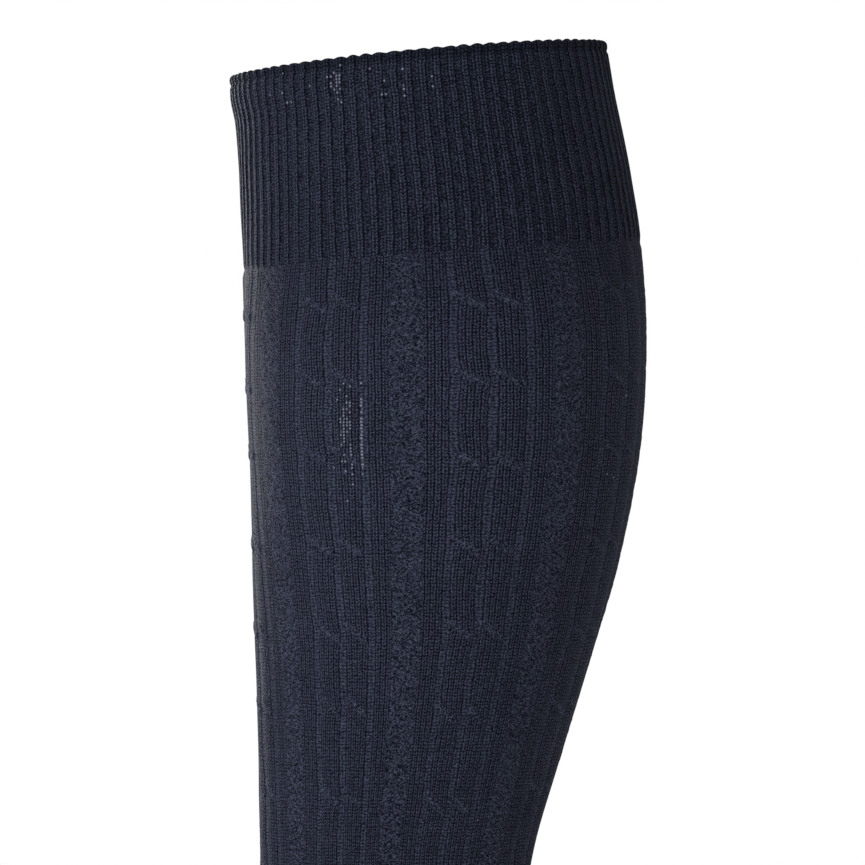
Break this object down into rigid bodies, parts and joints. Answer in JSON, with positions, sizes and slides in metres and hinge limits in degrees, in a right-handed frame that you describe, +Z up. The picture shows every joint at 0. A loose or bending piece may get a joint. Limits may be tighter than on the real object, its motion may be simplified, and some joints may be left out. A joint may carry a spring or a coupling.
{
  "type": "knee-high winter sock",
  "caption": "Knee-high knitted winter sock with a ribbed cuff, a cabled leg, a heel pocket and a closed toe, shaped as it sits on a leg.",
  "frame": {"origin": "middle of the opening at the cuff's rim, where the leg goes in", "axes": "+Z up the leg and out of the opening, -X towards the toes, +X towards the calf, Y across the leg"},
  "size_m": [0.264, 0.1097, 0.401],
  "materials": {
    "rib_knit": "dark navy one-by-one rib, matt with a soft fuzz",
    "cable_knit": "dark navy cable and moss-stitch knit, matt with a soft fuzz",
    "plain_knit": "dark navy plain knit, matt with a soft fuzz"
  },
  "bodies": {
    "root": {"cuff": "rib_knit", "leg": "cable_knit", "heel": "plain_knit", "foot": "plain_knit", "toe": "plain_knit"}
  },
  "joints": []
}
